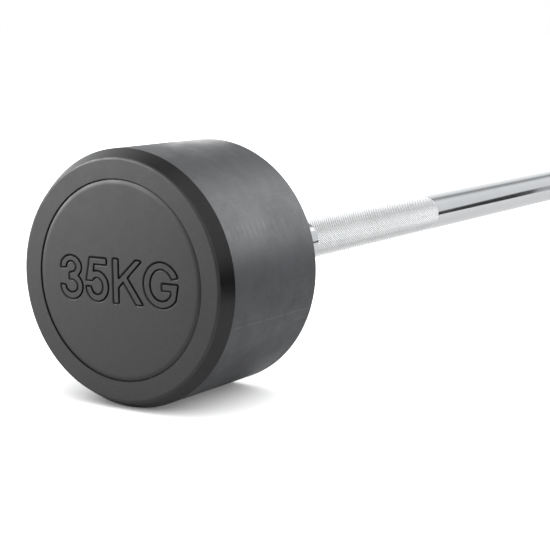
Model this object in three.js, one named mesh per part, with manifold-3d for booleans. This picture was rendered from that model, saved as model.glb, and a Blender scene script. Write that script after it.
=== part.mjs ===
// Fixed barbell: a chromed steel bar with a rubber-cased steel head clamped on each end.
// Millimetres, +Z up. The bar lies along X, and the origin is on its axis, halfway between the heads.
import * as THREE from "three";
import { mergeVertices } from "three/addons/utils/BufferGeometryUtils.js";
import Module from "manifold-3d";

const wasm = await Module();
wasm.setup();

// Driving dimensions of the whole barbell
const overallLength = 1170; // over both end caps
const barDiameter = 30;
const headDiameter = 170;
const headLength = 105.5;

// Fits that the pieces share
const fitGap = 0.3; // between faces that touch on the real barbell
const cutOverrun = 1; // how far a cutting solid passes the face that it opens
const weldDistance = 0.001; // vertices closer than this are one vertex

// Rubber casing
const casingSideWall = 5.6; // rubber over the core's side
const casingBackWall = 4.5; // rubber behind the core, round the bar
const chamferWidth = 5.7; // of the conical front edge, measured along the radius
const chamferLength = 9.9; // of the same edge, measured along the axis
const rimRounding = 2.3; // between the flat rim and the cone
const backRounding = 1.6;
const recessRounding = 0.5; // on the rim's inner edge, round the cap
const barHoleRounding = 0.8; // where the bar leaves the back of the casing

// Keying ribs inside the casing, which lie in grooves along the core's side
const keyCount = 6;
const keyRadius = 3;
const keyRoot = 0.5; // how far the ends of a rib are rooted in the casing

// End cap
const capDiameter = 130.8;
const capThickness = 6.7; // its face is flush with the casing's rim
const capRollWidth = 3.2; // of the soft fall of its face towards the edge
const capRollDepth = 0.75;
const skirtLength = 5; // of the ring behind the cap that plugs into the core's counterbore
const skirtWall = 4;
const skirtChamfer = 1;

// Steel core
const coreEdgeRounding = 2;
const counterboreDiameter = 40; // holds the bolt's head and its washers
const boltHeadSunk = 3.6; // from the core's front face down to the bolt's head
const pilotDepth = 8; // how far the bar's full thickness enters the core

// Bar
const neckLength = 116; // plain, from the head's back face to the knurling
const knurlLength = 200;
const knurlRise = 0.2; // of the knurl's crests over the plain bar
const knurlRunout = 0.6;
const spigotDiameter = 24;
const spigotRelief = 1; // the spigot stops this far short, so that the washer clamps the core
const spigotChamfer = 1;
const shoulderChamfer = 0.6;

// M12 socket head cap screw
const boltDiameter = 12;
const boltLength = 50; // under the head
const boltHeadDiameter = 18;
const boltHeadHeight = 12;
const boltHeadRounding = 0.9;
const boltTipChamfer = 1;
const socketAcrossFlats = 10;
const socketDepth = 6;
const tapSpareDepth = 6; // of the tapped hole, past the bolt's tip

// Washers
const flatWasherDiameter = 35;
const flatWasherThickness = 5;
const flatWasherPlay = 0.5; // round the bolt
const flatWasherChamfer = 0.8;
const springWasherDiameter = 18;
const springWasherThickness = 2.5;
const springWasherSlit = 1.2;

// Slotted spring pins
const pinCount = 3;
const pinDiameter = 6;
const pinLength = 24;
const pinWall = 1.2;
const pinSlot = 1.2;
const pinChamfer = 0.7;

// Angles and counts that have no length
const drillPointAngle = THREE.MathUtils.degToRad(118);
const slitLean = THREE.MathUtils.degToRad(25); // of the spring washer's slit off the axis
const headSides = 56;
const barSides = 36;
const boltSides = 24;
const keySides = 12;
const pinSides = 16;
const hexSides = 6;
const roundingSteps = 2;

// Sizes worked out from those above. Each level is a distance from the head's outer face inwards.
const headRadius = headDiameter / 2;
const barRadius = barDiameter / 2;
const capRadius = capDiameter / 2;
const recessRadius = capRadius + fitGap;
const cavityRadius = headRadius - casingSideWall;
const cavityBackLevel = headLength - casingBackWall;
const coreRadius = cavityRadius - fitGap;
const coreFrontLevel = capThickness + fitGap;
const coreBackLevel = cavityBackLevel - fitGap;
const counterboreRadius = counterboreDiameter / 2;
const boltRadius = boltDiameter / 2;
const boltHeadLevel = coreFrontLevel + boltHeadSunk;
const boltShankLevel = boltHeadLevel + boltHeadHeight;
const boltTipLevel = boltShankLevel + boltLength;
const springWasherLevel = boltShankLevel + fitGap;
const flatWasherLevel = springWasherLevel + springWasherThickness + fitGap;
const counterboreFloorLevel = flatWasherLevel + flatWasherThickness + fitGap;
const pilotFloorLevel = coreBackLevel - pilotDepth;
const spigotRadius = spigotDiameter / 2;
const spigotEndLevel = counterboreFloorLevel + spigotRelief;
const shoulderLevel = pilotFloorLevel + fitGap;
const pinRadius = pinDiameter / 2;
const pinEndLevel = counterboreFloorLevel + pinLength;

// A corner of an outline: its radius, its distance along the axis, and how much it is rounded.
function corner(radius, along, rounding = 0) {
  return { point: new THREE.Vector2(radius, along), rounding };
}

// The points of one corner, which is an arc where the corner is rounded.
function cornerPoints(here, before, after) {
  if (here.rounding === 0) {
    return [here.point];
  }
  const towardsBefore = before.point.clone().sub(here.point).normalize();
  const towardsAfter = after.point.clone().sub(here.point).normalize();
  const halfAngle = Math.acos(towardsBefore.dot(towardsAfter)) / 2;
  const toCentre = towardsBefore.clone().add(towardsAfter);
  toCentre.setLength(here.rounding / Math.sin(halfAngle));
  const centre = here.point.clone().add(toCentre);
  const reach = here.rounding / Math.tan(halfAngle);
  const first = here.point.clone().addScaledVector(towardsBefore, reach).sub(centre);
  const last = here.point.clone().addScaledVector(towardsAfter, reach).sub(centre);
  const sweep = Math.atan2(first.cross(last), first.dot(last));
  return Array.from({ length: roundingSteps + 1 }, (_, step) =>
    first.clone().rotateAround(new THREE.Vector2(), (sweep * step) / roundingSteps).add(centre),
  );
}

// An outline that starts off the axis closes on itself.
function outline(corners) {
  const points = corners.flatMap((here, index) =>
    cornerPoints(here, corners.at(index - 1), corners[(index + 1) % corners.length]),
  );
  return points[0].x === 0 ? points : [...points, points[0].clone()];
}

function solidOf(geometry) {
  const bare = new THREE.BufferGeometry();
  bare.setAttribute("position", geometry.getAttribute("position"));
  bare.setIndex(geometry.index);
  const merged = mergeVertices(bare, weldDistance);
  const vertProperties = merged.attributes.position.array;
  const triVerts = new Uint32Array(merged.index.array);
  return new wasm.Manifold(new wasm.Mesh({ numProp: 3, vertProperties, triVerts }));
}

function geometryOf(solid) {
  const mesh = solid.getMesh();
  const geometry = new THREE.BufferGeometry();
  geometry.setAttribute("position", new THREE.BufferAttribute(mesh.vertProperties, 3));
  geometry.setIndex(new THREE.BufferAttribute(mesh.triVerts, 1));
  geometry.computeVertexNormals();
  return geometry;
}

// Turns corners about X. The flat sides lie at the true radius, and one of them faces straight down.
function revolve(corners, sides) {
  const halfSide = Math.PI / sides;
  const points = outline(corners);
  points.forEach((point) => point.setX(point.x / Math.cos(halfSide)));
  return solidOf(new THREE.LatheGeometry(points, sides, halfSide).rotateZ(-Math.PI / 2));
}

// A plain round rod along X, which cuts a hole or joins on as a rib.
function rod(radius, start, end, sides) {
  return revolve([corner(0, start), corner(radius, start), corner(radius, end), corner(0, end)], sides);
}

// Copies of a solid in even steps round X, each moved out to a radius first.
function ring(solid, count, radius) {
  return Array.from({ length: count }, (_, index) =>
    solid.translate([0, 0, radius]).rotate([(360 * index) / count, 0, 0]),
  );
}

function join(solid, others) {
  return others.reduce((whole, other) => whole.add(other), solid);
}

function cut(solid, tools) {
  return tools.reduce((whole, tool) => whole.subtract(tool), solid);
}

// The moulded casing: a flat rim round the cap's recess, a conical edge, a plain side and a back wall.
// Inside, the mould's rubber fills the core's grooves as ribs.
function casing() {
  const shell = revolve(
    [
      corner(recessRadius, 0, recessRounding),
      corner(headRadius - chamferWidth, 0, rimRounding),
      corner(headRadius, chamferLength),
      corner(headRadius, headLength, backRounding),
      corner(barRadius + fitGap, headLength, barHoleRounding),
      corner(barRadius + fitGap, cavityBackLevel),
      corner(cavityRadius, cavityBackLevel, coreEdgeRounding + fitGap),
      corner(cavityRadius, capThickness, coreEdgeRounding + fitGap),
      corner(recessRadius, capThickness),
    ],
    headSides,
  );
  const rib = rod(keyRadius, capThickness - keyRoot, cavityBackLevel + keyRoot, keySides);
  return join(shell, ring(rib, keyCount, cavityRadius));
}

// The pin holes lie on the seam between the spigot and the core, half in each.
function pinHoles() {
  const hole = rod(
    pinRadius + fitGap,
    counterboreFloorLevel - cutOverrun,
    pinEndLevel + fitGap,
    pinSides,
  );
  return ring(hole, pinCount, spigotRadius);
}

function core() {
  const billet = revolve(
    [
      corner(0, coreFrontLevel),
      corner(coreRadius, coreFrontLevel, coreEdgeRounding),
      corner(coreRadius, coreBackLevel, coreEdgeRounding),
      corner(0, coreBackLevel),
    ],
    headSides,
  );
  const bore = revolve(
    [
      corner(0, coreFrontLevel - cutOverrun),
      corner(counterboreRadius, coreFrontLevel - cutOverrun),
      corner(counterboreRadius, counterboreFloorLevel),
      corner(spigotRadius + fitGap, counterboreFloorLevel),
      corner(spigotRadius + fitGap, pilotFloorLevel),
      corner(barRadius + fitGap, pilotFloorLevel),
      corner(barRadius + fitGap, coreBackLevel + cutOverrun),
      corner(0, coreBackLevel + cutOverrun),
    ],
    barSides,
  );
  const groove = rod(
    keyRadius + fitGap,
    coreFrontLevel - cutOverrun,
    coreBackLevel + cutOverrun,
    keySides,
  );
  return cut(billet, [bore, ...ring(groove, keyCount, cavityRadius), ...pinHoles()]);
}

// A face that falls softly to its edge, as the corners of one shallow arc.
function rollOff(radius, width, depth) {
  const arcRadius = (width ** 2 + depth ** 2) / (2 * depth);
  const sweep = Math.asin(width / arcRadius);
  return Array.from({ length: roundingSteps + 1 }, (_, step) => {
    const turn = (sweep * step) / roundingSteps;
    return corner(radius - width + arcRadius * Math.sin(turn), arcRadius * (1 - Math.cos(turn)));
  });
}

function endCap() {
  const skirtRadius = counterboreRadius - fitGap;
  const skirtEndLevel = capThickness + skirtLength;
  return revolve(
    [
      corner(0, 0),
      ...rollOff(capRadius, capRollWidth, capRollDepth),
      corner(capRadius, capThickness),
      corner(skirtRadius, capThickness),
      corner(skirtRadius, skirtEndLevel - skirtChamfer),
      corner(skirtRadius - skirtChamfer, skirtEndLevel),
      corner(skirtRadius - skirtWall, skirtEndLevel),
      corner(skirtRadius - skirtWall, capThickness),
      corner(0, capThickness),
    ],
    headSides,
  );
}

// A blind hole along X with a drill's cone at its end. It opens the face at its start.
function drilledHole(radius, start, end, sides) {
  const pointLength = radius / Math.tan(drillPointAngle / 2);
  return revolve(
    [
      corner(0, start - cutOverrun),
      corner(radius, start - cutOverrun),
      corner(radius, end),
      corner(0, end + pointLength),
    ],
    sides,
  );
}

// One piece of steel from end to end. Each end is turned down to a spigot, tapped for the bolt
// and grooved for the pins.
function bar() {
  const half = overallLength / 2;
  const knurlOuter = half - headLength - neckLength;
  const knurlInner = knurlOuter - knurlLength;
  const spigotEnd = half - spigotEndLevel;
  const shoulder = half - shoulderLevel;
  const rightHalf = [
    corner(barRadius, knurlInner),
    corner(barRadius + knurlRise, knurlInner + knurlRunout),
    corner(barRadius + knurlRise, knurlOuter - knurlRunout),
    corner(barRadius, knurlOuter),
    corner(barRadius, shoulder - shoulderChamfer),
    corner(barRadius - shoulderChamfer, shoulder),
    corner(spigotRadius, shoulder),
    corner(spigotRadius, spigotEnd - spigotChamfer),
    corner(spigotRadius - spigotChamfer, spigotEnd),
    corner(0, spigotEnd),
  ];
  const leftHalf = rightHalf.map(({ point }) => corner(point.x, -point.y)).reverse();
  const blank = revolve([...leftHalf, ...rightHalf], barSides);
  const tappedHole = drilledHole(
    boltRadius + fitGap,
    spigotEndLevel,
    boltTipLevel + tapSpareDepth,
    boltSides,
  );
  const leftTools = [tappedHole, ...pinHoles()].map((tool) => tool.translate([-half, 0, 0]));
  const rightTools = leftTools.map((tool) => tool.rotate([0, 0, 180]));
  return cut(blank, [...leftTools, ...rightTools]);
}

function clampBolt() {
  const blank = revolve(
    [
      corner(0, boltHeadLevel),
      corner(boltHeadDiameter / 2, boltHeadLevel, boltHeadRounding),
      corner(boltHeadDiameter / 2, boltShankLevel),
      corner(boltRadius, boltShankLevel),
      corner(boltRadius, boltTipLevel - boltTipChamfer),
      corner(boltRadius - boltTipChamfer, boltTipLevel),
      corner(0, boltTipLevel),
    ],
    boltSides,
  );
  const socket = rod(
    socketAcrossFlats / 2,
    boltHeadLevel - cutOverrun,
    boltHeadLevel + socketDepth,
    hexSides,
  );
  return cut(blank, [socket]);
}

function flatWasher() {
  const outerRadius = flatWasherDiameter / 2;
  const boreRadius = boltRadius + flatWasherPlay;
  const end = flatWasherLevel + flatWasherThickness;
  return revolve(
    [
      corner(boreRadius, flatWasherLevel),
      corner(outerRadius - flatWasherChamfer, flatWasherLevel),
      corner(outerRadius, flatWasherLevel + flatWasherChamfer),
      corner(outerRadius, end),
      corner(boreRadius, end),
    ],
    boltSides,
  );
}

// A slit on the upper side of a ring, as a long thin box.
function slit(width, depth, start, end) {
  const box = new THREE.BoxGeometry(end - start, width, depth);
  return solidOf(box.translate((start + end) / 2, 0, depth / 2));
}

// Clamped flat, with its slit across the ring at a slant.
function springWasher() {
  const outerRadius = springWasherDiameter / 2;
  const end = springWasherLevel + springWasherThickness;
  const whole = revolve(
    [
      corner(boltRadius + fitGap, springWasherLevel),
      corner(outerRadius, springWasherLevel),
      corner(outerRadius, end),
      corner(boltRadius + fitGap, end),
    ],
    boltSides,
  );
  const middle = (springWasherLevel + end) / 2;
  const tool = slit(springWasherSlit, springWasherDiameter, -springWasherThickness, springWasherThickness);
  const leaning = tool.rotate([0, 0, THREE.MathUtils.radToDeg(slitLean)]);
  return cut(whole, [leaning.translate([middle, 0, 0])]);
}

function springPin() {
  const boreRadius = pinRadius - pinWall;
  const whole = revolve(
    [
      corner(boreRadius, counterboreFloorLevel),
      corner(pinRadius - pinChamfer, counterboreFloorLevel),
      corner(pinRadius, counterboreFloorLevel + pinChamfer),
      corner(pinRadius, pinEndLevel - pinChamfer),
      corner(pinRadius - pinChamfer, pinEndLevel),
      corner(boreRadius, pinEndLevel),
    ],
    pinSides,
  );
  const slot = slit(pinSlot, pinDiameter, counterboreFloorLevel - cutOverrun, pinEndLevel + cutOverrun);
  return cut(whole, [slot]);
}

const rubber = new THREE.MeshStandardMaterial({ color: 0x4b4c4e, roughness: 0.55, metalness: 0 });
const capRubber = new THREE.MeshStandardMaterial({ color: 0x525253, roughness: 0.6, metalness: 0 });
const chrome = new THREE.MeshStandardMaterial({ color: 0xdfe2e6, roughness: 0.15, metalness: 1 });
const steel = new THREE.MeshStandardMaterial({ color: 0x8f9295, roughness: 0.45, metalness: 1 });
const blackSteel = new THREE.MeshStandardMaterial({ color: 0x26272a, roughness: 0.5, metalness: 1 });
const zincSteel = new THREE.MeshStandardMaterial({ color: 0xb4b8bb, roughness: 0.35, metalness: 1 });

function piece(name, geometry, material) {
  const mesh = new THREE.Mesh(geometry, material);
  mesh.name = name;
  return mesh;
}

const headPieces = [
  ["casing", geometryOf(casing()), rubber],
  ["core", geometryOf(core()), steel],
  ["end_cap", geometryOf(endCap()), capRubber],
  ["clamp_bolt", geometryOf(clampBolt()), blackSteel],
  ["flat_washer", geometryOf(flatWasher()), zincSteel],
  ["spring_washer", geometryOf(springWasher()), zincSteel],
];
const pinGeometry = geometryOf(springPin());

// A pin is turned about the bar's axis, and its own axis stays on the seam of the spigot.
function pin(side, index) {
  const holder = new THREE.Group();
  holder.rotation.x = (2 * Math.PI * index) / pinCount;
  const mesh = piece(`${side}_spring_pin_${index + 1}`, pinGeometry, steel);
  mesh.position.z = spigotRadius;
  holder.add(mesh);
  return holder;
}

// The right head is the left one, turned half round so that its outer face looks the other way.
function head(side, turn) {
  const group = new THREE.Group();
  group.rotation.z = turn;
  group.position.x = (-Math.cos(turn) * overallLength) / 2;
  headPieces.forEach(([name, geometry, material]) => {
    group.add(piece(`${side}_${name}`, geometry, material));
  });
  for (let index = 0; index < pinCount; index += 1) {
    group.add(pin(side, index));
  }
  return group;
}

const barbell = new THREE.Group();
barbell.add(piece("bar", geometryOf(bar()), chrome));
barbell.add(head("left", 0));
barbell.add(head("right", Math.PI));

export default barbell;
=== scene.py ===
# Fixed barbell: the looks of every piece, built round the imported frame. Metres, +Z up, the bar along X.
import math
from collections import namedtuple

import bmesh
import bpy
from mathutils import Matrix, Vector
from mathutils.geometry import intersect_line_line_2d, tessellate_polygon


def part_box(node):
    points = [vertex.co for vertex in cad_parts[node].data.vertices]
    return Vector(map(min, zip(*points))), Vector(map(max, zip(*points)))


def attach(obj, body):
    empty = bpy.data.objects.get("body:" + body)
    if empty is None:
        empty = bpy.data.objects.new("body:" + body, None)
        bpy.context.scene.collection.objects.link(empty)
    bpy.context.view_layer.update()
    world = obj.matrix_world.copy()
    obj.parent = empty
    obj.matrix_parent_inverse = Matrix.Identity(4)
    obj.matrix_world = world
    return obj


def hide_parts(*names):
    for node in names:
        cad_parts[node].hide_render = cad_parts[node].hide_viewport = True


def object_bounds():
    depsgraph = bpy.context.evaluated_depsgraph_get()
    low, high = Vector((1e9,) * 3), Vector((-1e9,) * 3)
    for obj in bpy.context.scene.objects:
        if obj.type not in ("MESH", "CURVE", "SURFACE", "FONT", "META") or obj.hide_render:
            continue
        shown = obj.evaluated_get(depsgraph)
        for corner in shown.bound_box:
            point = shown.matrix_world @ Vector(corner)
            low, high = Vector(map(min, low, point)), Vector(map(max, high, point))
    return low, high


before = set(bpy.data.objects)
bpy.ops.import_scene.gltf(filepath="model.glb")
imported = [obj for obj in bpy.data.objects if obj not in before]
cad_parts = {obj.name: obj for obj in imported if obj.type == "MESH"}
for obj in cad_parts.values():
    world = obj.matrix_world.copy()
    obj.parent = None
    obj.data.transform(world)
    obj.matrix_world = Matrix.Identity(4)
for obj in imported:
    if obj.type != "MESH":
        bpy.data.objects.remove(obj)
cad_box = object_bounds()

MM = 0.001

# Sizes read from the frame
casing_low, casing_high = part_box("left_casing")
_, cap_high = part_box("left_end_cap")
core_low, core_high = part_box("left_core")
_, bar_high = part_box("bar")
half_length = -casing_low.x
head_length = casing_high.x - casing_low.x
head_radius = casing_high.z
cap_radius = cap_high.z
core_radius = core_high.z
spigot_end = bar_high.x
knurl_radius = bar_high.z
floor_height = cad_box[0].z

# Sizes of the casing. A level is a distance from the head's outer face inwards.
fit_gap = 0.3 * MM
recess_radius = cap_radius + fit_gap
cavity_radius = core_radius + fit_gap
cap_thickness = core_low.x - casing_low.x - fit_gap
cavity_back_level = core_high.x - casing_low.x + fit_gap
chamfer_width = 5.7 * MM
chamfer_length = 9.9 * MM
rim_rounding = 2.3 * MM
side_rounding = 0.45 * MM
back_rounding = 1.6 * MM
recess_rounding = 0.5 * MM
bar_hole_rounding = 0.8 * MM
cavity_rounding = 2.3 * MM
key_count = 6
key_radius = 3 * MM

# Sizes of the end cap
cap_roll_width = 3.2 * MM
cap_roll_depth = 0.75 * MM
cap_lip_rounding = 0.25 * MM
cap_guard = 1 * MM
skirt_radius = 19.7 * MM
skirt_wall = 4 * MM
skirt_chamfer = 1 * MM

# Sizes of the weight mark's groove, from a character's outline sideways, and down. The side towards the
# stroke is one steep wall, and the outer side falls in two slopes.
groove_depth = 1.35 * MM
groove_foot = 0.1 * MM
stroke_wall = 0.38 * MM
stroke_foot = 0.3 * MM
stroke_shoulder = 0.18 * MM
stroke_guard = 0.62 * MM
outer_step = 0.72 * MM
outer_step_depth = 0.6 * MM
outer_lip = 1.15 * MM
outer_lip_rounding = 0.3 * MM
outer_guard = 1.35 * MM
fold_reach = 24

# Sizes of the mark's characters
letter_height = 28.4 * MM
letter_stretch = 1.03
letter_corner = 0.5 * MM
letter_step = 0.5 * MM
mark_turn = math.radians(0.7)

# Sizes of the bar
bar_radius = 15 * MM
neck_length = 116 * MM
knurl_length = 200 * MM
knurl_groove = 0.34 * MM
knurl_pitch = knurl_length / 68
knurl_teeth = 55
knurl_flat_share = 0.25
spigot_radius = 12 * MM
spigot_chamfer = 1 * MM
shoulder_chamfer = 0.6 * MM
pilot_depth = 8 * MM
tapped_radius = 6.3 * MM
tapped_end_level = 78.6 * MM
drill_point = math.radians(118)
pin_count = 3
pin_groove_radius = 3.3 * MM
pin_groove_end_level = 55.3 * MM
pin_groove_runout = 0.5 * MM

# How finely the shapes are drawn: steps round a piece, steps in a rounding and degrees a step in an arc
head_steps = 360
bar_steps = 2 * knurl_teeth
rounding_steps = 8
arc_step = 4
least_bend_steps = 5
same_place = 0.0001 * MM
tolerance = 1e-9
sharp_edge = math.radians(35)

# Zones of the pieces, as the number of their material. RECESS and GROOVE get the rubber painted near black as
# shade.
RIM, CHAMFER, SIDE, RECESS = 0, 1, 2, 3
FACE, GROOVE = 0, 1
PLAIN, KNURL = 0, 1

Corner = namedtuple("Corner", "across along rounding zone")


def corner(across, along, rounding=0.0, zone=0):
    """A corner of an outline. The zone is that of the stretch after it."""
    return Corner(across, along, rounding, zone)


def rounded_corner(here, before, after):
    """The points of one corner, which is an arc where the corner is rounded."""
    point = Vector((here.across, here.along))
    if here.rounding == 0:
        return [point]
    back = (Vector((before.across, before.along)) - point).normalized()
    ahead = (Vector((after.across, after.along)) - point).normalized()
    half_angle = back.angle(ahead) / 2
    centre = point + (back + ahead).normalized() * (here.rounding / math.sin(half_angle))
    reach = here.rounding / math.tan(half_angle)
    first = point + back * reach - centre
    last = point + ahead * reach - centre
    sweep = math.atan2(first.cross(last), first.dot(last))
    points = []
    for step in range(rounding_steps + 1):
        turn = sweep * step / rounding_steps
        cos, sin = math.cos(turn), math.sin(turn)
        points.append(centre + Vector((first.x * cos - first.y * sin, first.x * sin + first.y * cos)))
    return points


def outline(corners, closed=False):
    """(point, zone of the stretch after it) all along an outline. An arc belongs to the stretch before it."""
    traced = []
    for index, here in enumerate(corners):
        before = corners[index - 1]
        after = corners[(index + 1) % len(corners)]
        ends = not closed and index in (0, len(corners) - 1)
        points = rounded_corner(here._replace(rounding=0.0) if ends else here, before, after)
        traced += [(point, before.zone) for point in points[:-1]]
        traced.append((points[-1], here.zone))
    return traced


class Draft:
    """The vertices and faces of one piece, gathered before they become a mesh."""

    def __init__(self):
        self.points = []
        self.faces = []
        self.zones = []

    def ring(self, points):
        first = len(self.points)
        self.points += points
        return list(range(first, len(self.points)))

    def distinct(self, ring):
        """A ring without the points that repeat the one before."""
        pairs = zip(ring, ring[-1:] + ring)
        return [index for index, before in pairs if self.points[index] != self.points[before]]

    def face(self, corners, zone):
        self.faces.append(corners)
        self.zones.append(zone)

    def band(self, ring, following, zone):
        """Joins two closed rings of equal count."""
        for index in range(len(ring)):
            after = (index + 1) % len(ring)
            self.face((ring[index], ring[after], following[after], following[index]), zone)

    def cone(self, ring, tip, zone):
        for index in range(len(ring)):
            self.face((ring[index], ring[(index + 1) % len(ring)], tip), zone)

    def flat(self, rings, zone):
        """Fills a flat. The first ring is its outside, and the others are its holes."""
        order = [index for ring in rings for index in ring]
        lines = [[Vector(self.points[index]) for index in ring] for ring in rings]
        for corners in tessellate_polygon(lines):
            self.face(tuple(order[index] for index in corners), zone)

    def turned(self, traced, steps, reach=None, closed=False):
        """Turns an outline about X and returns its rings. reach gives a ring's own radius at an angle."""
        rings = []
        for (radius, along), _ in traced:
            if radius < tolerance:
                rings.append(self.ring([(along, 0.0, 0.0)]))
                continue
            points = []
            for step in range(steps):
                angle = 2 * math.pi * step / steps
                own = reach(radius, along, angle) if reach else radius
                points.append((along, -own * math.cos(angle), own * math.sin(angle)))
            rings.append(self.ring(points))
        followers = rings[1:] + rings[:1] if closed else rings[1:]
        for ring, following, (_, zone) in zip(rings, followers, traced):
            if len(following) == 1:
                self.cone(ring, following[0], zone)
            elif len(ring) == 1:
                self.cone(following, ring[0], zone)
            else:
                self.band(ring, following, zone)
        return rings


def piece(name, draft, materials, node, flat_zones=()):
    """Makes the mesh of a piece that stands for a CAD node."""
    mesh = bpy.data.meshes.new(name)
    mesh.from_pydata(draft.points, [], draft.faces)
    mesh.polygons.foreach_set("material_index", draft.zones)
    for material in materials:
        mesh.materials.append(material)
    shaped = bmesh.new()
    shaped.from_mesh(mesh)
    bmesh.ops.remove_doubles(shaped, verts=shaped.verts, dist=same_place)
    bmesh.ops.recalc_face_normals(shaped, faces=shaped.faces)
    shaped.to_mesh(mesh)
    shaped.free()
    mesh.set_sharp_from_angle(angle=sharp_edge)
    for face in mesh.polygons:
        face.use_smooth = face.material_index not in flat_zones
    made = bpy.data.objects.new(name, mesh)
    bpy.context.scene.collection.objects.link(made)
    weighted = made.modifiers.new("weighted_normals", "WEIGHTED_NORMAL")
    weighted.keep_sharp = True
    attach(made, "root")
    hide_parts(node)
    return made


def mirrored(draft):
    """The same draft turned half round the upright axis, for the right end."""
    other = Draft()
    other.points = [(-x, -y, z) for x, y, z in draft.points]
    other.faces = draft.faces
    other.zones = draft.zones
    return other


def at_level(level):
    """Where a level of the left head lies along X."""
    return level - half_length


def keyed_radius(radius, along, angle):
    """The cavity's radius, drawn in where a keying rib runs along it."""
    spacing = 2 * math.pi / key_count
    off_rib = (angle - math.pi / 2 + spacing / 2) % spacing - spacing / 2
    aside = cavity_radius * math.sin(off_rib)
    inside = at_level(cap_thickness) - tolerance <= along <= at_level(cavity_back_level) + tolerance
    if not inside or abs(aside) >= key_radius or radius > cavity_radius + tolerance:
        return radius
    rib = cavity_radius * math.cos(off_rib) - math.sqrt(key_radius**2 - aside**2)
    return min(radius, rib)


def casing_draft():
    """Rim, conical edge, side and back, with the cap's recess and the core's cavity inside."""
    draft = Draft()
    back = at_level(head_length)
    corners = [
        corner(recess_radius, at_level(0), recess_rounding, RIM),
        corner(head_radius - chamfer_width, at_level(0), rim_rounding, CHAMFER),
        corner(head_radius, at_level(chamfer_length), side_rounding, SIDE),
        corner(head_radius, back, back_rounding, RIM),
        corner(bar_radius + fit_gap, back, bar_hole_rounding, RIM),
        corner(bar_radius + fit_gap, at_level(cavity_back_level), 0.0, RIM),
        corner(cavity_radius, at_level(cavity_back_level), cavity_rounding, RIM),
        corner(cavity_radius, at_level(cap_thickness), cavity_rounding, RIM),
        # The recess wall after this corner gets the rubber painted near black as the shade in the gap round
        # the cap
        corner(recess_radius, at_level(cap_thickness), 0.0, RECESS),
    ]
    draft.turned(outline(corners, closed=True), head_steps, keyed_radius, closed=True)
    return draft


def arc(centre, radii, start, end):
    """Points of an elliptic arc in shares of the letter height. Degrees, 0 to the right and 90 up."""
    count = math.ceil(abs(end - start) / arc_step)
    angles = [math.radians(start + (end - start) * step / count) for step in range(count + 1)]
    return [(centre[0] + radii[0] * math.cos(a), centre[1] + radii[1] * math.sin(a)) for a in angles]


def three_shares():
    """Two bowls of one stroke, with a short bar at the waist."""
    upper, lower = (0.314, 0.736), (0.324, 0.285)
    return (
        arc(upper, (0.292, 0.256), 187, -51)
        + arc(lower, (0.312, 0.298), 55, -183)
        + arc(lower, (0.178, 0.158), 180, 453)
        + [(0.263, 0.447), (0.263, 0.586)]
        + arc(upper, (0.147, 0.135), -85, 187)
    )


def five_shares():
    """A flag, a leaning stem and a bowl."""
    bowl = (0.328, 0.335)
    return (
        [(0.13, 0.984), (0.598, 0.984), (0.598, 0.845), (0.242, 0.845)]
        + arc(bowl, (0.314, 0.345), 110, -175)
        + arc(bowl, (0.173, 0.205), 188, 503)
        + [(0.025, 0.455)]
    )


def k_shares():
    """A stem, with an arm and a leg that meet it."""
    return [
        (0.0, 1.0),
        (0.14, 1.0),
        (0.14, 0.53),
        (0.628, 1.0),
        (0.79, 1.0),
        (0.387, 0.595),
        (0.815, 0.0),
        (0.629, 0.0),
        (0.282, 0.5),
        (0.14, 0.35),
        (0.14, -0.01),
        (0.0, -0.01),
    ]


def g_shares():
    """An open bowl, with a bar that turns down into it."""
    centre = (0.48, 0.498)
    return (
        arc(centre, (0.48, 0.51), 23, 322)
        + [(0.928, 0.535), (0.5, 0.535), (0.5, 0.388), (0.74, 0.388)]
        + arc(centre, (0.315, 0.368), -34, -334)
    )


# Where each character starts, in shares of the letter height from the mark's left edge
last_start_share = 2.37
last_width_share = 0.945
character_shares = ((0.0, three_shares), (0.73, five_shares), (1.523, k_shares), (last_start_share, g_shares))
mark_width_share = last_start_share + last_width_share
sharp_turn = math.radians(15)


def walk(line, distance):
    """(place, direction) at a distance along a closed line."""
    distance %= sum((b - a).length for a, b in zip(line, line[1:] + line[:1]))
    for a, b in zip(line, line[1:] + line[:1]):
        length = (b - a).length
        if distance <= length:
            return a + (b - a) * (distance / length), (b - a).normalized()
        distance -= length
    return line[0], (line[1] - line[0]).normalized()


def bend(start, start_way, end, end_way):
    """A round bend between two directions, without its last point."""
    turn = start_way.angle(end_way)
    radius = (end - start).length / (2 * math.sin(turn / 2))
    handle = 4 / 3 * math.tan(turn / 4) * radius
    pulls = (start, start + start_way * handle, end - end_way * handle, end)
    count = max(least_bend_steps, math.ceil(radius * turn / letter_step * 2))
    points = []
    for step in range(count):
        t = step / count
        weights = ((1 - t) ** 3, 3 * t * (1 - t) ** 2, 3 * t * t * (1 - t), t**3)
        points.append(sum((pull * weight for pull, weight in zip(pulls, weights)), Vector((0, 0))))
    return points


def soften(line):
    """A closed line with every sharp turn rounded, in even steps."""
    travelled = 0.0
    turns = []
    for index, here in enumerate(line):
        ahead = line[(index + 1) % len(line)] - here
        turn = (here - line[index - 1]).angle(ahead)
        if turn > sharp_turn:
            turns.append((travelled, letter_corner * math.tan(turn / 2)))
        travelled += ahead.length
    points = []
    for index, (place, reach) in enumerate(turns):
        following, next_reach = turns[(index + 1) % len(turns)]
        start, start_way = walk(line, place - reach)
        end, end_way = walk(line, place + reach)
        points += bend(start, start_way, end, end_way)
        length = (following - place) % travelled - reach - next_reach
        count = max(1, round(length / letter_step))
        points += [walk(line, place + reach + length * step / count)[0] for step in range(count)]
    return points


def mark_contours():
    """The closed outlines of the weight mark, centred on the cap. To the right as seen, and up."""
    contours = []
    for start_share, shares in character_shares:
        line = []
        for across, up in shares():
            aside = (across + start_share - mark_width_share / 2) * letter_stretch
            here = Vector((aside, up - 0.5)) * letter_height
            here.rotate(Matrix.Rotation(mark_turn, 2))
            line.append(here)
        contours.append(soften(line))
    return contours


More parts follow.
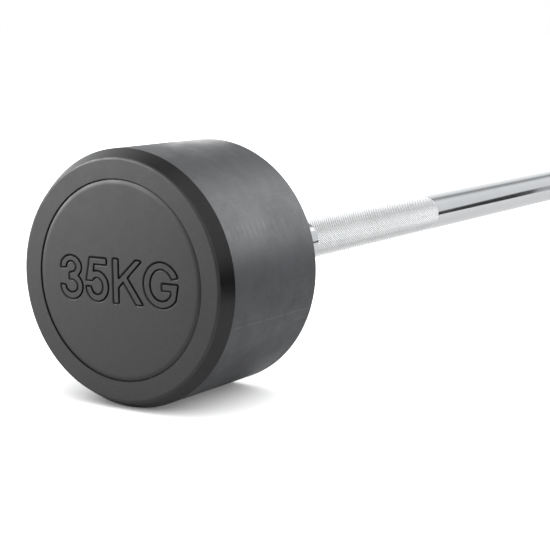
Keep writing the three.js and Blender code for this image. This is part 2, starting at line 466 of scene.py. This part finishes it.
def anticlockwise(line):
    """A closed line, turned round if it runs clockwise."""
    turned = sum(a.cross(b) for a, b in zip(line, line[1:] + line[:1]))
    return line if turned > 0 else line[::-1]


def beside(line, offset):
    """A closed line moved sideways. Where it would fold at a corner, its points meet at the crossing."""
    count = len(line)
    moved = []
    for index, here in enumerate(line):
        way = line[(index + 1) % count] - line[index - 1]
        moved.append(here + Vector((-way.y, way.x)).normalized() * offset)
    near_fold = set()
    for index in range(count):
        after = (index + 1) % count
        if (moved[after] - moved[index]).dot(line[after] - line[index]) < 0:
            near_fold |= {(index - step) % count for step in range(fold_reach)}
    for index in sorted(near_fold):
        for reach in range(fold_reach, 1, -1):
            ends = [moved[(index + step) % count] for step in (0, 1, reach, reach + 1)]
            meeting = intersect_line_line_2d(*ends)
            if meeting:
                for step in range(1, reach + 1):
                    moved[(index + step) % count] = meeting
                break
    return moved


def add_groove(draft, contour, face):
    """Lays a groove along an anticlockwise line and returns its ring in the stroke and the one outside."""
    # The groove's steep wall and floor get the rubber painted near black as shade
    section = outline(
        [
            corner(stroke_guard, 0.0, 0.0, FACE),
            corner(stroke_wall, 0.0, stroke_shoulder, GROOVE),
            corner(stroke_foot, groove_depth, groove_foot, GROOVE),
            corner(0.0, groove_depth, groove_foot, GROOVE),
            corner(-outer_step, outer_step_depth, 0.0, FACE),
            corner(-outer_lip, 0.0, outer_lip_rounding, FACE),
            corner(-outer_guard, 0.0, 0.0, FACE),
        ]
    )
    rings = []
    for (offset, depth), _ in section:
        rings.append(draft.ring([(face + depth, -place.x, place.y) for place in beside(contour, offset)]))
    for ring, following, (_, zone) in zip(rings, rings[1:], section):
        draft.band(ring, following, zone)
    return draft.distinct(rings[0]), draft.distinct(rings[-1])


def cap_roll(face):
    """The soft fall of the face towards the cap's lip, as one shallow arc."""
    radius = (cap_roll_width**2 + cap_roll_depth**2) / (2 * cap_roll_depth)
    sweep = math.asin(cap_roll_width / radius)
    start = cap_radius - cap_roll_width
    corners = []
    for step in range(rounding_steps + 1):
        turn = sweep * step / rounding_steps
        fall = radius * (1 - math.cos(turn))
        corners.append(corner(start + radius * math.sin(turn), face + fall, 0.0, FACE))
    # The lip and the cap's side behind it get the rubber painted near black as the shade in the gap
    corners[-1] = corners[-1]._replace(rounding=cap_lip_rounding, zone=GROOVE)
    return corners


def cap_draft():
    """A disc with a soft edge, a skirt behind it and the weight mark on its face."""
    draft = Draft()
    face = at_level(0)
    back = at_level(cap_thickness)
    skirt_end = cap_high.x
    corners = [
        corner(cap_radius - cap_roll_width - cap_guard, face, 0.0, FACE),
        *cap_roll(face),
        corner(cap_radius, back, 0.0, FACE),
        corner(skirt_radius, back, 0.0, FACE),
        corner(skirt_radius, skirt_end - skirt_chamfer, 0.0, FACE),
        corner(skirt_radius - skirt_chamfer, skirt_end, 0.0, FACE),
        corner(skirt_radius - skirt_wall, skirt_end, 0.0, FACE),
        corner(skirt_radius - skirt_wall, back, 0.0, FACE),
        corner(0.0, back, 0.0, FACE),
    ]
    rings = draft.turned(outline(corners), head_steps)
    holes = []
    for contour in mark_contours():
        inside, outside = add_groove(draft, anticlockwise(contour), face)
        draft.flat([inside], FACE)
        holes.append(outside)
    draft.flat([rings[0]] + holes, FACE)
    return draft


def grooved_radius(radius, along, angle):
    """The spigot's radius, drawn in where a spring pin lies along it."""
    spacing = 2 * math.pi / pin_count
    off_pin = (angle - math.pi / 2 + spacing / 2) % spacing - spacing / 2
    aside = spigot_radius * math.sin(off_pin)
    end = half_length - pin_groove_end_level
    if abs(along) < end - tolerance or abs(aside) >= pin_groove_radius:
        return radius
    return min(radius, spigot_radius * math.cos(off_pin) - math.sqrt(pin_groove_radius**2 - aside**2))


def bar_end_corners():
    """The left end from the tapped hole's tip out to the spigot's end, and back to the full bar."""
    end = -spigot_end
    hole_end = at_level(tapped_end_level)
    groove_end = at_level(pin_groove_end_level)
    shoulder = at_level(cavity_back_level - pilot_depth)
    return [
        corner(0.0, hole_end + tapped_radius / math.tan(drill_point / 2)),
        corner(tapped_radius, hole_end),
        corner(tapped_radius, end),
        corner(spigot_radius - spigot_chamfer, end),
        corner(spigot_radius, end + spigot_chamfer),
        corner(spigot_radius, groove_end),
        corner(spigot_radius, groove_end + pin_groove_runout),
        corner(spigot_radius, shoulder),
        corner(bar_radius - shoulder_chamfer, shoulder),
        corner(bar_radius, shoulder + shoulder_chamfer),
    ]


def knurl_place(start, column, row, radius):
    """A point of the knurl's lattice, whose columns and rows lie half a pitch apart."""
    angle = math.pi * row / knurl_teeth
    along = start + column * knurl_pitch / 2
    return (along, -radius * math.cos(angle), radius * math.sin(angle))


def add_pyramid(draft, start, column, row, pits):
    """A blunt pyramid in the middle of the four pits round it."""
    reach = knurl_flat_share
    steps = ((-reach, 0), (0, reach), (reach, 0), (0, -reach))
    top = draft.ring([knurl_place(start, column + c, row + r, knurl_radius) for c, r in steps])
    draft.face(tuple(top), KNURL)
    for side in range(len(top)):
        after = (side + 1) % len(top)
        draft.face((pits[side], pits[after], top[after], top[side]), KNURL)


def add_knurl(draft, start):
    """Diamond knurling. Two families of grooves cross, and between them stand blunt pyramids."""
    columns = round(knurl_length / (knurl_pitch / 2))
    rows = 2 * knurl_teeth
    nodes = {}
    for column in range(columns + 1):
        ends = column in (0, columns)
        for row in range(rows):
            if ends or (column + row) % 2 == 0:
                radius = bar_radius if ends else bar_radius - knurl_groove
                nodes[column, row] = draft.ring([knurl_place(start, column, row, radius)])[0]
    for column in range(columns + 1):
        for row in range((column + 1) % 2, rows, 2):
            above, below = (row + 1) % rows, (row - 1) % rows
            around = ((column - 1, row), (column, above), (column + 1, row), (column, below))
            pits = [nodes.get(place) for place in around]
            if (column, row) not in nodes:
                add_pyramid(draft, start, column, row, pits)
                continue
            inner = pits[2] if column == 0 else pits[0]
            draft.face((nodes[column, row], pits[1], inner), PLAIN)
            draft.face((nodes[column, row], inner, pits[3]), PLAIN)
    return tuple([nodes[column, row] for row in range(rows)] for column in (0, columns))


def bar_draft():
    """One bar from spigot to spigot, with two knurled stretches and plain steel between."""
    draft = Draft()
    outer = half_length - head_length - neck_length
    inner = outer - knurl_length
    first_neck = bar_end_corners() + [corner(bar_radius, -outer)]
    neck = draft.turned(outline(first_neck), bar_steps, grooved_radius)
    left_start, left_end = add_knurl(draft, -outer)
    right_start, right_end = add_knurl(draft, inner)
    last_neck = [corner(c.across, -c.along) for c in reversed(first_neck)]
    far_neck = draft.turned(outline(last_neck), bar_steps, grooved_radius)
    draft.band(neck[-1], left_start, PLAIN)
    draft.band(left_end, right_start, PLAIN)
    draft.band(right_end, far_neck[0], PLAIN)
    return draft


class Shading:
    """A material and its nodes. Places are read in metres in the object's own frame."""

    def __init__(self, name):
        self.material = bpy.data.materials.new(name)
        self.material.use_nodes = True
        self.tree = self.material.node_tree
        self.surface = self.tree.nodes["Principled BSDF"]
        self.place = self.add("ShaderNodeTexCoord").outputs["Object"]

    def add(self, kind):
        return self.tree.nodes.new(kind)

    def feed(self, socket, value):
        """Links a socket to another one, or sets a plain value on it."""
        if isinstance(value, bpy.types.NodeSocket):
            self.tree.links.new(value, socket)
        else:
            socket.default_value = value

    def noise(self, scale, detail=2.0, roughness=0.5, stretch=(1, 1, 1), distortion=0.0):
        mapping = self.add("ShaderNodeMapping")
        self.feed(mapping.inputs["Vector"], self.place)
        mapping.inputs["Scale"].default_value = stretch
        node = self.add("ShaderNodeTexNoise")
        self.feed(node.inputs["Vector"], mapping.outputs["Vector"])
        node.inputs["Scale"].default_value = scale
        node.inputs["Detail"].default_value = detail
        node.inputs["Roughness"].default_value = roughness
        node.inputs["Distortion"].default_value = distortion
        return node.outputs["Fac"]

    def math(self, operation, first, second=0.0, third=0.0):
        node = self.add("ShaderNodeMath")
        node.operation = operation
        for socket, value in zip(node.inputs, (first, second, third)):
            self.feed(socket, value)
        return node.outputs[0]

    def product(self, first, second):
        return self.math("MULTIPLY", first, second)

    def weighted(self, first, weight, second, other_weight):
        """The sum of two values, each times its weight."""
        return self.math("MULTIPLY_ADD", first, weight, self.product(second, other_weight))

    def apart(self, first, second):
        """The distance between two values."""
        return self.math("ABSOLUTE", self.math("SUBTRACT", first, second))

    def turn(self):
        """The angle round the bar's axis in degrees, 0 towards the front and 90 up."""
        place = self.add("ShaderNodeSeparateXYZ")
        self.feed(place.inputs[0], self.place)
        front = self.product(place.outputs["Y"], -1.0)
        return self.product(self.math("ARCTAN2", place.outputs["Z"], front), math.degrees(1))

    def level(self):
        """The distance inwards from the outer face of the nearer head."""
        place = self.add("ShaderNodeSeparateXYZ")
        self.feed(place.inputs[0], self.place)
        return self.math("SUBTRACT", half_length, self.math("ABSOLUTE", place.outputs["X"]))

    def spread(self, value, low, high, to_low=0.0, to_high=1.0):
        """Spreads a stretch of values smoothly over another one."""
        node = self.add("ShaderNodeMapRange")
        node.interpolation_type = "SMOOTHSTEP"
        for name, number in (("Value", value), ("From Min", low), ("From Max", high)):
            self.feed(node.inputs[name], number)
        node.inputs["To Min"].default_value = to_low
        node.inputs["To Max"].default_value = to_high
        return node.outputs["Result"]

    def colours(self, value, *stops):
        """Colours by a value. Each stop is (place, colour)."""
        node = self.add("ShaderNodeValToRGB")
        self.feed(node.inputs["Fac"], value)
        ramp = node.color_ramp
        while len(ramp.elements) < len(stops):
            ramp.elements.new(1.0)
        for element, (place, colour) in zip(ramp.elements, stops):
            element.position = place
            element.color = (*colour, 1.0)
        return node.outputs["Color"]

    def blend(self, share, first, second):
        node = self.add("ShaderNodeMix")
        node.data_type = "RGBA"
        self.feed(node.inputs["Factor"], share)
        sockets = [socket for socket in node.inputs if socket.type == "RGBA"]
        for socket, value in zip(sockets, (first, second)):
            self.feed(socket, value if isinstance(value, bpy.types.NodeSocket) else (*value, 1.0))
        return next(socket for socket in node.outputs if socket.type == "RGBA")

    def bump(self, height, depth, strength=1.0, under=None):
        """Raises the surface by a height from 0 to 1 times a depth in metres."""
        node = self.add("ShaderNodeBump")
        node.inputs["Strength"].default_value = strength
        node.inputs["Distance"].default_value = depth
        self.feed(node.inputs["Height"], height)
        if under is not None:
            self.feed(node.inputs["Normal"], under)
        return node.outputs["Normal"]

    def finish(self, **values):
        """Sets the surface's sockets, whose names have underscores for spaces."""
        for name, value in values.items():
            if isinstance(value, tuple):
                value = (*value, 1.0)
            self.feed(self.surface.inputs[name.replace("_", " ")], value)
        return self.material


def matte_rubber(name, dark, light, roughness=0.5):
    """Moulded rubber: soft cloudy patches, a fine grain and a faint sheen from handling."""
    shading = Shading(name)
    cloud = shading.noise(55, detail=3.0, roughness=0.55, distortion=0.4)
    speck = shading.noise(420, detail=4.0, roughness=0.6)
    grain = shading.noise(2600, detail=2.0)
    tone = shading.weighted(speck, 0.45, cloud, 0.55)
    colour = shading.colours(tone, (0.34, dark), (0.66, light))
    gloss = shading.spread(cloud, 0.3, 0.7, roughness + 0.05, roughness - 0.05)
    waves = shading.bump(cloud, 0.12 * MM, 0.4)
    normal = shading.bump(grain, 0.02 * MM, 0.5, under=waves)
    return shading.finish(Base_Color=colour, Roughness=gloss, Normal=normal, Specular_IOR_Level=0.5)


def chamfer_rubber():
    """The conical edge, moulded smooth and dark."""
    shading = Shading("chamfer_rubber")
    cloud = shading.noise(70, detail=3.0)
    grain = shading.noise(1800, detail=2.0)
    dark, light = (0.003, 0.0025, 0.0032), (0.006, 0.0052, 0.0063)
    colour = shading.colours(cloud, (0.35, dark), (0.65, light))
    gloss = shading.spread(cloud, 0.3, 0.7, 0.27, 0.33)
    normal = shading.bump(grain, 0.01 * MM, 0.4)
    return shading.finish(Base_Color=colour, Roughness=gloss, Normal=normal, Specular_IOR_Level=0.4)


# Pale marks along the head's side: the angle round the axis and the half width in degrees, the levels that
# it runs between, and its strength
seam_marks = (
    (-17.0, 0.3, 12 * MM, 103 * MM, 0.8),
    (-14.0, 0.25, 12 * MM, 45 * MM, 0.5),
    (-21.5, 0.45, 84 * MM, 104 * MM, 0.6),
)
seam_fade = 4 * MM
# Two dark lines at their angles, and painted highlight dashes that come in and go out over two stretches of
# angle
dark_seams = (37.4, 39.6)
dark_seam_half_width = 0.45
highlight_dash_spacing = 5.7 * MM
highlight_dash_rise = (19.0, 23.5)
highlight_dash_fall = (24.5, 30.0)
ground_dark = (0.0106, 0.0124, 0.0164)
ground_light = (0.0272, 0.0295, 0.0355)
dark_seam_colour = (0.004, 0.004, 0.0045)
highlight_dash_colour = (0.05, 0.053, 0.058)
seam_mark_colour = (0.085, 0.076, 0.056)


def ground_rubber():
    """The side, ground round after moulding: streaks round the head, cloudy wear, painted highlight dashes
    and faint seams.
    """
    shading = Shading("ground_rubber")
    streak = shading.noise(1, detail=3.0, roughness=0.6, stretch=(1400, 14, 14))
    broad = shading.noise(1, detail=2.0, stretch=(160, 9, 9))
    cloud = shading.noise(45, detail=4.0, roughness=0.6, distortion=0.5)
    patch = shading.noise(16, detail=3.0, roughness=0.5, distortion=0.8)
    speck = shading.noise(620, detail=4.0, roughness=0.65)
    both = shading.weighted(streak, 0.5, broad, 0.5)
    worn = shading.weighted(speck, 0.3, both, 0.2)
    tone = shading.math("MULTIPLY_ADD", cloud, 0.5, worn)
    colour = shading.colours(tone, (0.38, ground_dark), (0.62, ground_light))
    angle = shading.turn()
    level = shading.level()
    for middle in dark_seams:
        aside = shading.apart(angle, middle)
        share = shading.product(shading.spread(aside, 0.0, dark_seam_half_width, 0.6, 0.0), cloud)
        colour = shading.blend(share, colour, dark_seam_colour)
    # Painted highlight: bright dashes painted in the band of angles where the side's highlight ends
    along = shading.product(level, math.tau / highlight_dash_spacing)
    wave = shading.math("SINE", shading.math("MULTIPLY_ADD", patch, 9.0, along))
    highlight_dash = shading.product(shading.spread(wave, 0.2, 1.0, 0.0, 0.75), shading.spread(angle, *highlight_dash_rise))
    highlight_dash = shading.product(highlight_dash, shading.spread(angle, *highlight_dash_fall, 1.0, 0.0))
    highlight_dash = shading.product(highlight_dash, shading.spread(cloud, 0.35, 0.65, 0.15, 1.0))
    colour = shading.blend(highlight_dash, colour, highlight_dash_colour)
    for middle, half_width, first, last, strength in seam_marks:
        aside = shading.apart(angle, middle)
        share = shading.spread(aside, 0.0, half_width, strength, 0.0)
        share = shading.product(share, shading.spread(cloud, 0.35, 0.5))
        share = shading.product(share, shading.spread(level, first, first + seam_fade))
        share = shading.product(share, shading.spread(level, last - seam_fade, last, 1.0, 0.0))
        colour = shading.blend(share, colour, seam_mark_colour)
    gloss = shading.spread(shading.weighted(patch, 0.4, tone, 0.6), 0.38, 0.62, 0.53, 0.42)
    waves = shading.bump(both, 0.03 * MM, 0.6)
    return shading.finish(Base_Color=colour, Roughness=gloss, Normal=waves, Specular_IOR_Level=0.5)


def painted_shade_rubber():
    """The mark's groove and the gap round the cap, painted near black as shade."""
    shading = Shading("painted_shade_rubber")
    speck = shading.noise(900, detail=3.0)
    dark, light = (0.006, 0.006, 0.006), (0.014, 0.014, 0.013)
    # Painted shade: a near-black colour for the groove's walls and floor and for the walls of the gap round
    # the cap
    colour = shading.colours(speck, (0.35, dark), (0.65, light))
    return shading.finish(Base_Color=colour, Roughness=0.75, Specular_IOR_Level=0.2)


def bar_chrome():
    """Bright chrome plating, with faint smudges in its gloss."""
    shading = Shading("bar_chrome")
    smudge = shading.noise(28, detail=4.0, roughness=0.6, stretch=(0.6, 1, 1), distortion=0.6)
    fine = shading.noise(1, detail=2.0, stretch=(700, 30, 30))
    tone = shading.weighted(fine, 0.3, smudge, 0.7)
    dark, light = (0.535, 0.545, 0.56), (0.57, 0.58, 0.595)
    colour = shading.colours(tone, (0.35, dark), (0.65, light))
    gloss = shading.spread(tone, 0.4, 0.68, 0.06, 0.12)
    return shading.finish(Base_Color=colour, Metallic=1.0, Roughness=gloss)


def knurl_chrome():
    """The same plating on the knurling, painted brighter than the plain bar's chrome on the flanks and crests
    as painted light, and painted dark in the grooves as painted shade.
    """
    shading = Shading("knurl_chrome")
    place = shading.add("ShaderNodeSeparateXYZ")
    shading.feed(place.inputs[0], shading.place)
    square = shading.product(place.outputs["Y"], place.outputs["Y"])
    reach = shading.math("SQRT", shading.math("MULTIPLY_ADD", place.outputs["Z"], place.outputs["Z"], square))
    rise = shading.spread(reach, bar_radius - knurl_groove, knurl_radius)
    smudge = shading.noise(60, detail=4.0, roughness=0.6, distortion=0.4)
    tone = shading.weighted(smudge, 0.2, rise, 0.8)
    # Painted shade in the grooves and painted light on the flanks and crests, by height over the bar's axis
    painted_pit_shade, painted_lit_flank, painted_lit_crest = (0.19, 0.193, 0.197), (0.92, 0.925, 0.935), (0.9, 0.905, 0.91)
    colour = shading.colours(tone, (0.15, painted_pit_shade), (0.38, painted_lit_flank), (0.9, painted_lit_crest))
    gloss = shading.spread(tone, 0.1, 0.9, 0.3, 0.2)
    return shading.finish(Base_Color=colour, Metallic=1.0, Roughness=gloss)


def turned_steel(name, dark, light, roughness):
    """Machined steel with the tool's fine rings along the bar's axis."""
    shading = Shading(name)
    rings = shading.noise(1, detail=3.0, stretch=(2200, 40, 40))
    cloud = shading.noise(90, detail=3.0)
    tone = shading.weighted(rings, 0.6, cloud, 0.4)
    colour = shading.colours(tone, (0.3, dark), (0.7, light))
    gloss = shading.spread(tone, 0.3, 0.7, roughness + 0.08, roughness - 0.06)
    normal = shading.bump(rings, 0.02 * MM, 0.5)
    return shading.finish(Base_Color=colour, Metallic=1.0, Roughness=gloss, Normal=normal)


def dress_inner_nodes():
    """The steel inside the heads keeps its CAD shape and gets a finish."""
    finishes = {
        "core": turned_steel("core_steel", (0.25, 0.255, 0.26), (0.38, 0.385, 0.39), 0.42),
        "clamp_bolt": turned_steel("black_steel", (0.016, 0.017, 0.019), (0.034, 0.035, 0.038), 0.45),
        "washer": turned_steel("zinc_steel", (0.46, 0.475, 0.49), (0.62, 0.63, 0.64), 0.3),
        "spring_pin": turned_steel("pin_steel", (0.2, 0.2, 0.205), (0.32, 0.32, 0.325), 0.38),
    }
    for name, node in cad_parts.items():
        for word, material in finishes.items():
            if word in name:
                for place in node.material_slots:
                    place.material = material


def make_heads():
    rim = matte_rubber("casing_rubber", (0.0135, 0.0135, 0.0132), (0.0225, 0.0225, 0.022))
    face = matte_rubber("cap_rubber", (0.0135, 0.0135, 0.0132), (0.022, 0.022, 0.0215))
    shade = painted_shade_rubber()
    casing_materials = [rim, chamfer_rubber(), ground_rubber(), shade]
    cap_materials = [face, shade]
    left = casing_draft(), cap_draft()
    right = [mirrored(draft) for draft in left]
    made = []
    for side, (casing, cap) in (("left", left), ("right", right)):
        nodes = f"{side}_casing", f"{side}_end_cap"
        made.append(piece(f"{side}_rubber_casing", casing, casing_materials, nodes[0]))
        made.append(piece(f"{side}_marked_cap", cap, cap_materials, nodes[1]))
    return made


def make_bar():
    materials = [bar_chrome(), knurl_chrome()]
    return piece("chromed_bar", bar_draft(), materials, "bar", flat_zones=(KNURL,))


# The camera's place is measured from the centre of the left face.
camera_from_face = Vector((-0.7340, -0.6019, 0.1614))
camera_turn = (80.535, 0.0, -56.75)
camera_lens = 97.55


def make_camera():
    data = bpy.data.cameras.new("camera")
    data.lens = camera_lens
    camera = bpy.data.objects.new("camera", data)
    camera.location = Vector((-half_length, 0, 0)) + camera_from_face
    camera.rotation_euler = [math.radians(angle) for angle in camera_turn]
    bpy.context.scene.collection.objects.link(camera)
    bpy.context.scene.camera = camera


def flat_board(name, corners):
    """A flat stage board through four corners."""
    mesh = bpy.data.meshes.new(name)
    mesh.from_pydata(corners, [], [(0, 1, 2, 3)])
    board = bpy.data.objects.new(name, mesh)
    bpy.context.scene.collection.objects.link(board)
    return board


def lit_group(name, objects):
    """A collection of the only objects that a light reaches."""
    group = bpy.data.collections.new(name)
    for member in objects:
        group.objects.link(member)
    return group


floor_reach = 40.0
floor_tone_in_reflections = 0.265
floor_tone_seen = 0.45
floor_seen_glow = 0.1
sky_brightness = 3.3
sky_spread = 140
sky_turn = (11, 4, 0)


def make_floor():
    """A floor so wide that its edge is never seen. A sky of its own and a faint glow make it plain white."""
    r, z = floor_reach, floor_height
    floor = flat_board("floor", [(-r, -r, z), (r, -r, z), (r, r, z), (-r, r, z)])
    shading = Shading("floor_white")
    seen = shading.add("ShaderNodeLightPath").outputs["Is Camera Ray"]
    brighter = floor_tone_seen - floor_tone_in_reflections
    tone = shading.math("MULTIPLY_ADD", seen, brighter, floor_tone_in_reflections)
    glow = shading.product(seen, floor_seen_glow)
    shading.finish(Base_Color=tone, Roughness=0.9, Specular_IOR_Level=0.0)
    shading.finish(Emission_Color=(1.0, 1.0, 1.0), Emission_Strength=glow)
    floor.data.materials.append(shading.material)
    data = bpy.data.lights.new("floor_sky", "SUN")
    data.energy = sky_brightness * math.pi
    data.angle = math.radians(sky_spread)
    sky = bpy.data.objects.new("floor_sky", data)
    sky.rotation_euler = [math.radians(angle) for angle in sky_turn]
    sky.light_linking.receiver_collection = lit_group("lit_floor", [floor])
    bpy.context.scene.collection.objects.link(sky)


# Cards on the floor, seen only in reflections: the two upper corners, how soft the top is, and the tone
cards = {
    "bar_card": ((0.03, -0.3, -0.01), (0.62, -0.27, 0.1), 0.06, 0.07),
    "near_card": ((-0.35, -0.32, 0.1), (0.03, -0.3, 0.1), 0.06, 0.6),
    "far_card": ((0.62, -0.27, 0.1), (1.1, -0.24, 0.1), 0.06, 0.6),
    "edge_card": ((-1.3, -0.5, 0.12), (-0.4, -0.4, 0.12), 0.1, 0.07),
    "face_card": ((-0.8, 0.13, 0.12), (-0.8, -0.4, 0.12), 0.1, 0.07),
}


def make_card(name, first, last, soft_edge, tone):
    """A studio card that stands on the floor and fades out along its top."""
    below_first = (*first[:2], floor_height)
    below_last = (*last[:2], floor_height)
    card = flat_board(name, [below_first, below_last, last, first])
    card.visible_camera = False
    card.visible_diffuse = False
    card.visible_shadow = False
    card.visible_transmission = False
    shading = Shading(name)
    place = shading.add("ShaderNodeSeparateXYZ")
    shading.feed(place.inputs[0], shading.place)
    axis = 0 if abs(last[0] - first[0]) > abs(last[1] - first[1]) else 1
    rise = (last[2] - first[2]) / (last[axis] - first[axis])
    top = shading.math("MULTIPLY_ADD", place.outputs[axis], rise, first[2] - first[axis] * rise)
    cover = shading.spread(shading.math("SUBTRACT", top, place.outputs["Z"]), 0.0, soft_edge)
    shading.finish(Base_Color=(tone, tone, tone), Roughness=1.0, Alpha=cover, Specular_IOR_Level=0.0)
    card.data.materials.append(shading.material)


# Brightness of the room by the angle round the bar's axis, 0 towards the front, 90 up and 180 behind
room_stops = (
    (-180, 1.4),
    (0, 1.02),
    (20, 0.99),
    (70, 1.08),
    (78, 0.97),
    (85, 0.74),
    (92, 0.5),
    (100, 0.39),
    (107, 0.56),
    (115, 0.88),
    (126, 1.08),
    (145, 1.16),
    (160, 1.2),
    (170, 1.15),
    (180, 1.5),
)
room_peak = max(level for _, level in room_stops)
room_tint_shares = (0.985, 0.995, 1.0)


def make_world():
    """A bright room, plain white where the camera sees it."""
    world = bpy.data.worlds.new("room")
    bpy.context.scene.world = world
    world.use_nodes = True
    tree = world.node_tree
    nodes, links = tree.nodes, tree.links
    nodes.clear()
    way = nodes.new("ShaderNodeSeparateXYZ")
    links.new(nodes.new("ShaderNodeTexCoord").outputs["Generated"], way.inputs[0])
    front = nodes.new("ShaderNodeMath")
    front.operation = "MULTIPLY"
    front.inputs[1].default_value = -1.0
    links.new(way.outputs["Y"], front.inputs[0])
    angle = nodes.new("ShaderNodeMath")
    angle.operation = "ARCTAN2"
    links.new(way.outputs["Z"], angle.inputs[0])
    links.new(front.outputs[0], angle.inputs[1])
    share = nodes.new("ShaderNodeMapRange")
    share.inputs["From Min"].default_value = -math.pi
    share.inputs["From Max"].default_value = math.pi
    links.new(angle.outputs[0], share.inputs["Value"])
    ramp = nodes.new("ShaderNodeValToRGB")
    links.new(share.outputs["Result"], ramp.inputs["Fac"])
    elements = ramp.color_ramp.elements
    while len(elements) < len(room_stops):
        elements.new(1.0)
    for element, (degrees, level) in zip(elements, room_stops):
        element.position = (degrees + 180) / 360
        bright = level / room_peak
        element.color = (*(bright * share for share in room_tint_shares), 1.0)
    room = nodes.new("ShaderNodeBackground")
    room.inputs["Strength"].default_value = room_peak
    links.new(ramp.outputs["Color"], room.inputs["Color"])
    plain = nodes.new("ShaderNodeBackground")
    plain.inputs["Color"].default_value = (1.0, 1.0, 1.0, 1.0)
    mix = nodes.new("ShaderNodeMixShader")
    links.new(nodes.new("ShaderNodeLightPath").outputs["Is Camera Ray"], mix.inputs["Fac"])
    links.new(room.outputs[0], mix.inputs[1])
    links.new(plain.outputs[0], mix.inputs[2])
    links.new(mix.outputs[0], nodes.new("ShaderNodeOutputWorld").inputs["Surface"])


def make_panel(name, place, target, size, brightness, lit):
    """A bright square panel that faces a target and shows in the reflections of the lit pieces alone."""
    data = bpy.data.lights.new(name, "AREA")
    data.size = size
    data.energy = brightness * math.pi * size**2
    light = bpy.data.objects.new(name, data)
    light.location = place
    light.rotation_euler = (Vector(target) - Vector(place)).to_track_quat("-Z", "Y").to_euler()
    light.visible_camera = False
    light.visible_diffuse = False
    light.light_linking.receiver_collection = lit
    bpy.context.scene.collection.objects.link(light)


face_middle = (-half_length, 0.0, 0.0)
knurl_target = (-0.26, 0.0, 0.0)
# Panels by what they light: the place, the target, the size and the brightness
head_panels = {
    "left_panel": ((-1.1, 0.75, 0.45), face_middle, 0.8, 10.5),
    "front_panel": ((0.6, -0.9, 1.0), (-0.4, 0.0, 0.0), 1.7, 3.3),
    "back_panel": ((-0.4, 0.065, 0.1), (-0.49, 0.0, head_radius), 0.05, 4.2),
}
bar_panels = {
    "knurl_panel": ((0.2, -0.35, 0.8), knurl_target, 0.9, 0.65),
    "knurl_back_panel": ((0.14, 0.54, 0.6), knurl_target, 0.8, 0.55),
}


def make_lights(heads, bar):
    """Panels for the rubber heads, and two that glint on the leaning faces of the knurling."""
    for lit, panels in (
        (lit_group("lit_heads", heads), head_panels),
        (lit_group("lit_bar", [bar]), bar_panels),
    ):
        for name, panel in panels.items():
            make_panel(name, *panel, lit)


def main():
    make_camera()
    make_world()
    make_floor()
    for name, card in cards.items():
        make_card(name, *card)
    make_lights(make_heads(), make_bar())
    dress_inner_nodes()
    bpy.context.scene.view_settings.view_transform = "Standard"


main()
